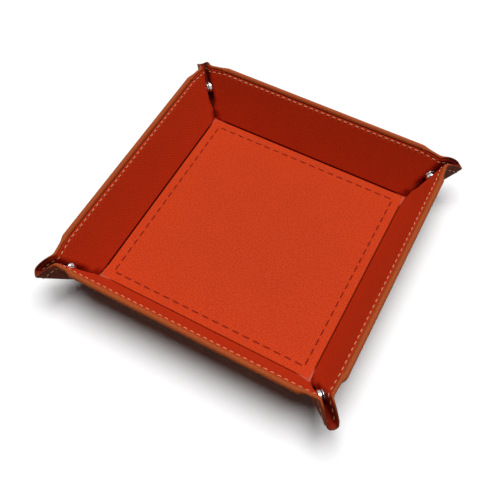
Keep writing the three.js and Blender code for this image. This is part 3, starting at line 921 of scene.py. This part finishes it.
def corner_inward(stretch, h, step=2e-3):
    """Direction in from the leather: cross product of small steps up and along it."""
    along = corner_point(np.minimum(4, stretch + step), h) - corner_point(np.maximum(-1, stretch - step), h)
    up = corner_point(stretch, h + step) - corner_point(stretch, h - step)
    return unit(np.cross(up, along))


ear_stretch = steps(-1.0, (0.0, 8), (1.0, 10), (2.0, 16), (3.0, 10), (4.0, 16))
print("an ear has", len(ear_stretch), "columns")

# %% [markdown]
# The edge of the ear falls away from the wall and rounds the tip, because the flat sheet has round
# corners. The height of that edge is found for all stretches together by halving an interval many
# times. The same search with an inset gives the line where the half round begins, and the line of
# stitches beside it.

# %% Edge of the ear
EDGE_SAG = 0.3  # the ear's edge hangs by this at the bend
rim_fall = math.pi / 4 - SPINE_RISE


def inside_rim(points):
    """How far points lie inside the ear's edge: distance to the falling line, or to the round of the tip."""
    u = (points[..., 0] + points[..., 1] - 2 * HALF) / ROOT2 - fan_foot - sharp_tip * math.cos(SPINE_RISE)
    z = points[..., 2] - FOLD - sharp_tip * math.sin(SPINE_RISE)
    back = -u * math.cos(rim_fall) + z * math.sin(rim_fall)
    below = -u * math.sin(rim_fall) - z * math.cos(rim_fall)
    tip = SHEET_CORNER - np.hypot(SHEET_CORNER - back, SHEET_CORNER - below)
    return np.where(back >= SHEET_CORNER, below, tip)


def edge_height(stretch, inset):
    """Height at which the leather is inset from its edge, by halving; in the wall, the wall's own rim."""
    low, high = np.full(stretch.shape, 1.0), np.full(stretch.shape, RIM_HEIGHT)
    for _ in range(36):
        middle = (low + high) / 2
        within = inside_rim(corner_point(stretch, middle)) > inset
        low, high = np.where(within, middle, low), np.where(within, high, middle)
    at_wall = (BEND_SLANT - inset) * math.sin(LEAN) + INSET * math.cos(LEAN)
    sag = EDGE_SAG * (1 - smooth((stretch - 1) / 2.0))
    return mix(at_wall, low - sag, smooth(stretch))


bend_edge, spine_edge = np.round(edge_height(np.array([1.0, 4.0]), 0.0), 1)
print("edge at the bend", bend_edge, "mm and at the spine", spine_edge, "mm over the fold")

# %% [markdown]
# The ears are the same leather as the walls, darkened past the bend by painted shade: the lining where it is
# folded on itself, and the cover on the outside. The cover keeps its tan colour along the edge.

# %% Painted shade on the ears
# painted shade for the ear's folded lining and for its cover
LINING_SHADE, COVER_SHADE = (0.09, 0.004, 0.001), (0.095, 0.007, 0.003)
SHADE_SHARE, SHADE_OVER = 0.75, 11.0  # the most painted shade, reached this far past the bend
TAN_EDGE, TAN_EASE = 1.5, 2.0  # the cover's edge keeps its tan this wide, and loses it over this much more
bend_place = ear_start(0.0) - HALF * math.cos(LEAN)


def past_bend(tree, sheet):
    """A share of painted shade that rises past the bend, by the distance beyond the bend on the sheet."""
    across = (-math.cos(LEAN), 1.0, 0.0)
    past = vector_calc(tree, "DOT_PRODUCT", sheet, across)["Value"]
    return fade(tree, past, bend_place * MM, (bend_place + SHADE_OVER) * MM, 0.0, SHADE_SHARE)


def shaded_fold(tree, sheet, color):
    """Painted shade darkens the lining past the bend, over the crease's painted shade and highlight."""
    return crease_shade_and_highlight(tree, sheet, tinted(tree, color, past_bend(tree, sheet), LINING_SHADE))


def shaded_outside(tree, sheet, color):
    """Painted shade darkens the cover past the bend but leaves its tan edge: by the distance from the middle
    of the sheet's round corner, which on the straight edges is the distance from a line."""
    middle = (HALF + SLANT - SHEET_CORNER) * MM
    off = vector_calc(tree, "SUBTRACT", sheet, (middle, middle, 0.0))["Vector"]
    off = vector_calc(tree, "MAXIMUM", off)["Vector"]
    off = vector_calc(tree, "LENGTH", off)["Value"]
    tan_from = SHEET_CORNER - TAN_EDGE
    within = fade(tree, off, (tan_from - TAN_EASE) * MM, tan_from * MM)
    return tinted(tree, color, calc(tree, "MULTIPLY", past_bend(tree, sheet), within), COVER_SHADE)


ear_leather = leather("ear_lining", *WALL_TONES_WITH_PAINTED_LIGHT, *WALL_GRAIN, shaded_fold)
ear_cover_leather = leather("ear_cover", *COVER_TONES, *COVER_GRAIN, shaded_outside)
print("ears:", ear_leather.name, ear_cover_leather.name)

# %% [markdown]
# The two layers of an ear are grids over stretch and height. The lining lies inside and thins near
# the foot, where the two halves are squeezed together. Along the edge its stitches pull it down, and
# it dips under the turned edge of the cover.

# %% Ear lining
ear_foot = crease_reach * math.sin(LEAN)
up_share = steps(0.0, (0.35, 14), (1.0, 26))


def ear_lining_depth(stretch, h, y):
    """The wall's own depth where the skins meet, soft beyond the bend, and thin where the slot closes."""
    at_wall = lining_depth(wall_slant(h), y) - foot_inset(h)
    room = np.clip(corner_plan(h)[0] - 0.15, 0.05, SOFT_FACE)
    return np.where(stretch < 0, mix(at_wall, room, smooth(stretch + 1)), room)


def ear_edge_dip(points):
    """Stitch groove and dip under the turned edge, by the distance to the ear's edge."""
    inside = inside_rim(points)
    return stitch_pull(inside - RIM_STITCH, 0.0, 1.0, 0.3) + 1.6 * smooth((2.8 - inside) / 1.3)


def ear_inside(stretch, h):
    """Inner face of the ear's lining, the direction in from it, and the middle of the cover beside it."""
    middle, inward = corner_point(stretch, h), corner_inward(stretch, h)
    depth = ear_lining_depth(stretch, h, middle[..., 1]) - smooth(stretch) * ear_edge_dip(middle)
    return middle + inward * depth[..., None], inward, middle


def ear_flat(points):
    """Place on the flat sheet for the grain: running length along each row, and height over the slant."""
    length = np.linalg.norm(np.diff(points, axis=1), axis=-1).cumsum(axis=1)
    length = np.concatenate([np.zeros((len(points), 1)), length], axis=1)
    return np.stack([HALF + (points[..., 2] - FOLD) / math.sin(LEAN), points[:, :1, 1] + length], axis=-1)


stretch = np.broadcast_to(ear_stretch[None, :], (len(up_share), len(ear_stretch)))
lining_top = edge_height(ear_stretch, 1.0)
lining_h = mix(ear_foot, lining_top[None, :], up_share[:, None])
inner_face, inner_in, lining_middle = ear_inside(stretch, lining_h)
ear_lining_grid = (inner_face, inner_in, ear_flat(lining_middle))
print("ear lining grid", stretch.shape)

# %% [markdown]
# The snap sits on the flat of the ear, clear of the bend on one side and of the spout on the other.
# Its cap is hidden under the cover, which swells a little over it.

# %% Place of the snap
SNAP_MARGIN = 0.3
FLANGE, CAP, BARREL = 4.2, 4.6, 1.4
CAP_BUMP = 0.75
SNAP_IN, SNAP_UP = 1.2, 1.8  # nearer the corner's mouth than in the solids, as the photo shows them
fan_width = 1 / math.tan(SPINE_RISE) - 1 / math.tan(bend_rise)
snap_side = CAP / math.sin(bend_rise)
clear_height = (snap_side + (FLANGE + SNAP_MARGIN) / math.sin(SPINE_RISE) + FLANK) / fan_width
snap_out = fan_foot + clear_height / math.tan(bend_rise) + snap_side - SNAP_IN
snap_height = clear_height + SNAP_UP
snap_centre = np.array([HALF + snap_out / ROOT2] * 2 + [FOLD + snap_height])


def cap_bump(points):
    """Swelling of the cover over the snap's hidden cap: level on the cap and fading out round it."""
    u = (points[..., 0] + points[..., 1] - 2 * HALF) / ROOT2 - snap_out
    return CAP_BUMP * smooth((CAP + 1.6 - np.hypot(u, points[..., 2] - FOLD - snap_height)) / 2.2)


print("snap at", np.round(snap_centre, 1), "mm on the first corner")

# %% [markdown]
# The ear's cover is the same form on the outer side, and at the edge it turns over as the wall's
# does, only thinner. The direction out over the edge is the cross product of the edge's own
# run and the inward direction.

# %% Ear cover and its edge
EDGE_OUTER, EDGE_TOP, EDGE_LIP = -0.2, 1.0, 1.4  # the edge is pressed thinner than the leather beside it
on_ear = smooth(ear_stretch)
ear_low = mix(OUTER_FACE, EDGE_OUTER, on_ear)
ear_top = mix(SOFT_FACE + 0.1, EDGE_TOP, on_ear)
ear_lip = mix(THIN_LIP, EDGE_LIP, on_ear)
edge_h = edge_height(ear_stretch, (ear_top - ear_low) / 2)
edge_base = corner_point(ear_stretch, edge_h)
edge_in = corner_inward(ear_stretch, edge_h)
edge_out = unit(np.cross(np.gradient(edge_base, axis=0), edge_in))
edge_out *= np.sign(edge_out[:1, 2:])
edge_points, edge_facing = rim_profile(edge_base, edge_in, edge_out, ear_low, ear_top, ear_lip)
cover_h = mix(ear_foot, edge_h[None, :], up_share[:, None])
cover_middle, cover_in = corner_point(stretch, cover_h), corner_inward(stretch, cover_h)
pressed = (ear_low - OUTER_FACE)[None, :] * smooth((6.0 - inside_rim(cover_middle)) / 5.0)
ear_outer = OUTER_FACE + pressed - cap_bump(cover_middle)
ear_cover_points = np.concatenate([cover_middle + cover_in * ear_outer[..., None], edge_points[1:]])
ear_cover_facing = np.concatenate([-cover_in, edge_facing[1:]])
ear_cover_grid = (ear_cover_points, ear_cover_facing, ear_flat(ear_cover_points))
print("ear cover grid", ear_cover_points.shape[:2])

# %% [markdown]
# Each ear's skin is only baked in place as it stands. A point before and one after its bend line are found,
# square to that line, on the mean of the directions in which wall and ear leave it, but nothing uses them.

# %% Ears in place
def bend_ends():
    """Points before and after the bend line, on the mean of the wall's and the ear's directions across it."""
    line = unit(np.array([math.cos(LEAN), math.cos(LEAN), math.sin(LEAN)]))
    in_wall = np.array([0.0, 1.0, 0.0]) - line[1] * line
    in_ear = np.cross(line, np.array([1.0, -1.0, 0.0]) / ROOT2)
    in_ear *= np.sign(in_ear @ in_wall)
    across = unit(unit(in_wall) + unit(in_ear))
    high = np.array([0.6 * RIM_HEIGHT])
    before, after = (corner_point(np.array([end]), high)[0] for end in (0.0, 1.0))
    return before, before + across * ((after - before) @ across)


bend_start, bend_stop = bend_ends()


def ear_body(quarter, side):
    """Name of the half ear on a wall, at the end where the next wall (1) or the one before it (-1) stands."""
    return f"{WALLS[quarter % 4]}_wall_{WALLS[(quarter + side) % 4]}_ear"


def blend_over_bend(piece):
    """Bakes the piece's place into its mesh; nothing is blended over the bend."""
    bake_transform(piece)


ear_layers = {"lining": (ear_lining_grid, ear_leather), "cover": (ear_cover_grid, ear_cover_leather)}
for quarter, wall in enumerate(WALLS):
    for side in (1, -1):
        for layer, (grid, finish) in ear_layers.items():
            node = f"{ear_body(quarter, side)}_{layer}"
            grids = [turn_grid(grid, quarter, side)]
            piece = skin(f"{node}_leather", grids, finish, EAR_LEATHER)
            blend_over_bend(piece)
            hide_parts(node)
print("ear skins:", len(piece.data.polygons), "faces in the last one")

# %% [markdown]
# Stitches are real little loops of thread that dive into the leather at both ends. All stitches of a
# row are made at once: each is a short tube along the row, with an oval section that closes at its
# ends. The row itself is a line on the leather, measured by its own length, so the stitches keep
# their pitch round the bends.

# %% Stitches along a row
DIVE = 0.5  # a stitch's ends lie this much lower than its middle
stitch_run = steps(-1.0, (1.0, 6))
stitch_ring = np.linspace(0, 2 * math.pi, 7)


def stitch_row(points, facing, centres, dash, wide, high, proud):
    """Tubes of thread: at each centre a run of length dash along the row, with an oval of wide by high that
    narrows to nothing at the ends, and a middle that stands proud and dives at the ends."""
    length = np.concatenate([[0.0], np.linalg.norm(np.diff(points, axis=0), axis=1).cumsum()])
    at = centres[:, None] + dash / 2 * stitch_run[None, :]
    place, out = (
        np.stack([np.interp(at, length, row[:, i]) for i in range(3)], axis=-1) for row in (points, facing))
    out = unit(out)
    across = unit(np.cross(np.gradient(place, axis=1), out))
    full = np.sqrt(np.maximum(0.0, 1 - stitch_run ** 4))[None, :, None]
    rise = (proud - DIVE * stitch_run ** 4)[None, :, None]
    ring_across = np.cos(stitch_ring)[:, None] * wide / 2
    ring_out = np.sin(stitch_ring)[:, None] * high / 2
    centre = (place + out * rise)[:, :, None, :]
    offset = across[:, :, None, :] * ring_across + out[:, :, None, :] * ring_out
    tubes = centre + offset * full[..., None]
    return tubes, tubes - centre + 1e-6 * out[:, :, None, :]


def thread_piece(name, tubes, facings, material):
    """One object from many tubes: each is a grid of its own, and their seams and ends are welded."""
    count, rows, columns = tubes.shape[:3]
    first = np.arange(count) * rows * columns
    faces = (grid_faces(rows, columns)[None] + first[:, None, None]).reshape(-1, 4)
    along, round_it = np.meshgrid(np.linspace(0, 4, rows), np.linspace(0, 1, columns), indexing="ij")
    flat = np.tile(np.stack([round_it, along], axis=-1).reshape(-1, 2), (count, 1))
    return build_mesh(name, tubes.reshape(-1, 3), faces, facings.reshape(-1, 3), flat, material)


print("a stitch has", (len(stitch_run) - 1) * (len(stitch_ring) - 1), "faces")

# %% [markdown]
# The stitched square of the base is the easiest row: four straight sides, dark thread, long dashes
# lying flush in their groove. Each side is the same row turned by a quarter. The machine sews
# through all the layers, so the same row shows on the underside.

# %% Base stitches
BASE_DASH = 0.88 * BASE_PITCH
BASE_THREAD = 0.85, 0.45  # width and height of a stitch
side_line = np.linspace(-(HALF - BASE_STITCH), HALF - BASE_STITCH, 400)
side_x = np.full(side_line.shape, HALF - BASE_STITCH)
base_centres = (np.arange(BASE_COUNT) + 0.5) * BASE_PITCH
for label, heights, facing_z, proud, slot in (
    ("inside", FOLD + base_depth(side_x, side_line), 1.0, 0.12, "lining_leather"),
    ("underside", FOLD + OUTER_FACE + UNDER_GROOVE + 0 * side_line, -1.0, 0.0, "cover_leather"),
):
    row = np.stack([side_x, side_line, heights], axis=-1)
    facing = np.broadcast_to([0.0, 0.0, facing_z], row.shape)
    one_side = stitch_row(row, facing, base_centres, BASE_DASH, *BASE_THREAD, proud)
    four_sides = (np.concatenate([turned(part, quarter) for quarter in range(4)]) for part in one_side)
    piece = thread_piece(f"base_{label}_thread", *four_sides, red_thread)
    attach(piece, "base")
print("base stitches:", 4 * len(base_centres), "on each face")

# %% [markdown]
# The rim's row starts in the middle of a wall and runs on round the bend and down the ear to the spine. Its
# stitches are counted from the middle, so both halves match. Those before the handover ride on the wall, and
# the rest lie on the ear, baked in place as the ear's leather is.

# %% Rim stitches
RIM_THREAD = 0.75, 0.5  # width and height of a stitch
RIM_PROUD = 0.2
row_y = np.linspace(0.0, ear_start(BEND_SLANT - RIM_STITCH), 300)[:-1]
row_s = rim_slant(row_y) - RIM_STITCH
row_stretch = np.linspace(-1.0, 4.0, 500)
ear_row, row_in, row_middle = ear_inside(row_stretch, edge_height(row_stretch, RIM_STITCH))
row_facing = np.concatenate([wall_inward(row_s, row_y), row_in])
inside_row = [wall_point(row_s, row_y, lining_depth(row_s, row_y)), ear_row]
outside_row = [wall_point(row_s, row_y, cover_depth(row_s, row_y)), row_middle + row_in * OUTER_FACE]
for label, parts, sign in (("inside", inside_row, 1), ("outside", outside_row, -1)):
    row = np.concatenate(parts)
    length = np.linalg.norm(np.diff(row, axis=0), axis=1).cumsum()
    centres = (np.arange(int(length[-1] / RIM_PITCH - 0.3)) + 0.5) * RIM_PITCH
    on_wall = centres < length[len(row_y) - 1]
    stitches = stitch_row(row, sign * row_facing, centres, RIM_DASH, *RIM_THREAD, RIM_PROUD)
    for quarter, wall in enumerate(WALLS):
        both_ends = (
            np.concatenate([turned(part[on_wall], quarter, side) for side in (1, -1)]) for part in stitches)
        piece = thread_piece(f"{wall}_wall_{label}_thread", *both_ends, cream_thread)
        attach(piece, f"{wall}_wall")
        for side in (1, -1):
            ear_part = (turned(part[~on_wall], quarter, side) for part in stitches)
            piece = thread_piece(f"{ear_body(quarter, side)}_{label}_thread", *ear_part, cream_thread)
            blend_over_bend(piece)
    print(label, "rim row:", round(float(length[-1]), 1), "mm,", len(centres), "stitches to each side")

# %% [markdown]
# A press snap is turned metal, so each part is a profile spun about the snap's axis, and only the
# split ring of the spring is a wire carried round it. Both need the directions square to the axis.

# %% Turned metal
snap_axis = np.array([1.0, -1.0, 0.0]) / ROOT2
diagonal, upright = np.array([1.0, 1.0, 0.0]) / ROOT2, np.array([0.0, 0.0, 1.0])


def round_axis(turn):
    """Directions square to the snap's axis, by the turn from the corner's diagonal towards up."""
    return np.cos(turn)[..., None] * diagonal + np.sin(turn)[..., None] * upright


def spun(profile, count=56):
    """Profile of (radius, along) spun about the snap's axis, the line from one flank to the other."""
    radius, along = np.array(profile, float).T
    ring = round_axis(np.linspace(0, 2 * math.pi, count + 1)[None, :])
    points = snap_centre + along[:, None, None] * snap_axis + radius[:, None, None] * ring
    slope = np.gradient(np.stack([radius, along], axis=1), axis=0)
    facing = slope[:, 1, None, None] * ring - slope[:, 0, None, None] * snap_axis
    return points, facing


def split_ring(radius, along, wire):
    """Ring spring: a wire carried round the snap's axis, open over 50 degrees and closed at its ends."""
    turn = np.radians(np.concatenate([[25.0], np.linspace(25.0, 335.0, 40), [335.0]]))[:, None]
    thick = np.concatenate([[0.0], np.full(40, wire), [0.0]])[:, None, None]
    section = np.linspace(0, 2 * math.pi, 9)[None, :, None]
    ring = round_axis(turn)
    facing = np.cos(section) * ring + np.sin(section) * snap_axis
    return snap_centre + along * snap_axis + radius * ring + thick * facing, facing


def arc(radius, along, size, start, stop, count=6):
    """Points of a quarter or half round of a profile, from one angle to another in degrees."""
    turns = np.radians(np.linspace(start, stop, count))
    return list(zip(radius + size * np.cos(turns), along + size * np.sin(turns)))


print("snap axis", np.round(snap_axis, 3))

# %% [markdown]
# Between the linings lie a socket with its rolled rim and a stud with its round head, and behind each
# lining the cap or the eyelet that holds it. No metal shows outside in the photo, so those two are
# thin discs under the cover.

# %% Snap profiles
CLEARANCE = 0.3
STUD_FLANGE, SOCKET_THICK = 0.9, 2.6
CAP_LOW, CAP_HIGH = FLANK - 0.3, FLANK + 0.4  # under the cover, on the back of the lining
CAP_MIDDLE, CAP_ROUND = (CAP_LOW + CAP_HIGH) / 2, 0.35
BORE = BARREL + 0.3
stud_base = SOFT_FACE - FLANK + CLEARANCE + STUD_FLANGE
socket_low = stud_base + CLEARANCE
socket_top = socket_low + SOCKET_THICK


def cap_profile():
    """Hidden cap: a flat disc with a rolled edge under the cover, and the barrel through the lining."""
    edge = arc(CAP - CAP_ROUND, CAP_MIDDLE, CAP_ROUND, 90, -90, 9)
    barrel = [(BARREL, CAP_LOW), (BARREL, socket_low + 2.0), (0.0, socket_low + 2.0)]
    return ([(0.0, CAP_HIGH)] + edge + barrel)[::-1]


def socket_profile():
    """Socket: a ring with a rolled rim outside and a hollow mouth for the stud."""
    outer = arc(FLANGE - 0.5, socket_top - 0.5, 0.5, 90, 0) + arc(FLANGE - 0.7, socket_low + 0.7, 0.7, 0, -90)
    mouth = arc(3.4, socket_low + 0.5, 0.5, 270, 180) + [(2.9, socket_low + 1.9), (BORE, socket_low + 1.9)]
    return [(BORE, socket_top)] + outer + mouth + [(BORE, socket_top)]


def stud_profile():
    """Stud: a flange with round edges, a waist and a round head."""
    low, edge_round = stud_base - STUD_FLANGE, STUD_FLANGE / 2
    edge = arc(FLANGE - edge_round, low + edge_round, edge_round, -90, 90, 9)
    waist = [(2.4, stud_base), (2.0, stud_base + 0.25), (2.0, stud_base + 0.8)]
    head = arc(1.75, stud_base + 1.45, 0.55, -60, 90, 8)
    return [(BORE, low)] + edge + waist + head + [(0.0, stud_base + 2.0)]


def eyelet_profile():
    """Hidden eyelet: a flat ring with a rolled edge under the cover, and a post through the lining."""
    edge = arc(FLANGE - CAP_ROUND, -CAP_MIDDLE, CAP_ROUND, -90, 90, 9)
    post = [(BARREL, -CAP_LOW), (BARREL, stud_base + 1.2), (0.0, stud_base + 1.2)]
    return [(0.0, -CAP_HIGH)] + edge + post


print("socket from", round(socket_low, 2), "to", round(socket_top, 2), "mm on the snap's axis")

# %% [markdown]
# The cap, socket and spring ride on the half ear of one wall, and the stud and eyelet on that of the
# next, so a snap comes apart when its corner opens.

# %% Press snaps
snap_parts = {
    "cap": (spun(cap_profile()), 1, nickel),
    "socket": (spun(socket_profile()), 1, nickel),
    "spring": (split_ring(2.55, stud_base + 1.0, 0.3), 1, spring_wire),
    "stud": (spun(stud_profile()), -1, nickel),
    "eyelet": (spun(eyelet_profile()), -1, nickel),
}
for quarter, wall in enumerate(WALLS):
    corner = f"{wall}_{WALLS[(quarter + 1) % 4]}"
    for part, (grid, side, metal) in snap_parts.items():
        rows, columns = grid[0].shape[:2]
        points, facing = (turned(values, quarter).reshape(-1, 3) for values in grid)
        flat = np.zeros((rows * columns, 2))
        piece = build_mesh(f"{corner}_{part}_metal", points, grid_faces(rows, columns), facing, flat, metal)
        piece.data.set_sharp_from_angle(angle=math.radians(50))
        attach(piece, ear_body(quarter, 1) if side > 0 else ear_body(quarter + 1, -1))
        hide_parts(f"{corner}_snap_{part}")
print("snaps:", len(snap_parts), "parts at each corner")

# %% [markdown]
# The photo has a white ground, with a soft dark shadow on the near side and a faint one on the right.
# The floor keeps that shadow. Rays from the camera, from metal and through glass see it as white, and
# all others as grey, so that it gives less light back to the leather.

# %% Floor
FLOOR_SIZE, FLOOR_GREY, FLOOR_WHITE = 6.0, 0.2, 1.06


def seen_ray(tree):
    """A socket that is 1 for rays from the camera, from a glossy face and through glass, else 0."""
    path = add_node(tree, "ShaderNodeLightPath").outputs
    seen = calc(tree, "MAXIMUM", path["Is Camera Ray"], path["Is Glossy Ray"])
    return calc(tree, "MAXIMUM", seen, path["Is Transmission Ray"])


floor_mesh = bpy.data.meshes.new("floor")
corner_signs = np.array([(-1, -1, 0), (1, -1, 0), (1, 1, 0), (-1, 1, 0)], float)
floor_mesh.from_pydata((corner_signs * FLOOR_SIZE / 2).tolist(), [], [(0, 1, 2, 3)])
floor = bpy.data.objects.new("floor", floor_mesh)
bpy.context.scene.collection.objects.link(floor)
floor.location.z = -0.0003
white, tree, shader = start_material("white_floor", Roughness=0.9, Specular_IOR_Level=0.0)
floor_color = tinted(tree, (*[FLOOR_GREY] * 3, 1.0), seen_ray(tree), [FLOOR_WHITE] * 3)
tree.links.new(floor_color, shader.inputs["Base Color"])
floor_mesh.materials.append(white)
floor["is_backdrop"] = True
print("floor", FLOOR_SIZE, "m wide")

# %% [markdown]
# One wide sun from above and a little behind gives the direction, and a faint sky fills the rest.
# The same rays that see a white floor see that sky as white.

# %% Light and sky
SUN_STRENGTH, SUN_ANGLE, SKY_FILL = 3.1, 44, 0.02
SUN_FROM = np.array([0.0, 0.18, 0.98])
sun = bpy.data.objects.new("sun", bpy.data.lights.new("sun", "SUN"))
bpy.context.scene.collection.objects.link(sun)
sun.data.energy = SUN_STRENGTH
sun.data.angle = math.radians(SUN_ANGLE)
sun_back = unit(SUN_FROM)
sun_right = unit(np.cross([0.0, 1.0, 0.0], sun_back))
sun.matrix_world = placed((sun_right, np.cross(sun_back, sun_right), sun_back), (0, 0, 0))

world = bpy.data.worlds.new("sky")
bpy.context.scene.world = world
world.use_nodes = True
tree = world.node_tree
tree.nodes.clear()
fill = add_node(tree, "ShaderNodeBackground", Color=(1, 1, 1, 1), Strength=SKY_FILL)
shown = add_node(tree, "ShaderNodeBackground", Color=(1, 1, 1, 1), Strength=1.0)
sky = add_node(tree, "ShaderNodeMixShader", _0=seen_ray(tree), _1=fill.outputs[0], _2=shown.outputs[0])
add_node(tree, "ShaderNodeOutputWorld", Surface=sky.outputs[0])
bpy.context.scene.view_settings.view_transform = "Standard"
print("sun", SUN_STRENGTH, "with a sky of", SKY_FILL)

# %% [markdown]
# The sizes of the dressed part and of the solids are printed side by side. The dressed part may
# stand proud of the solids only a little.

# %% Size
low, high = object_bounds()
for label, (box_low, box_high) in {"visual": (low, high), "cad": (cad_low, cad_high)}.items():
    print(label, "size", [round(b - a, 4) for a, b in zip(box_low, box_high)])
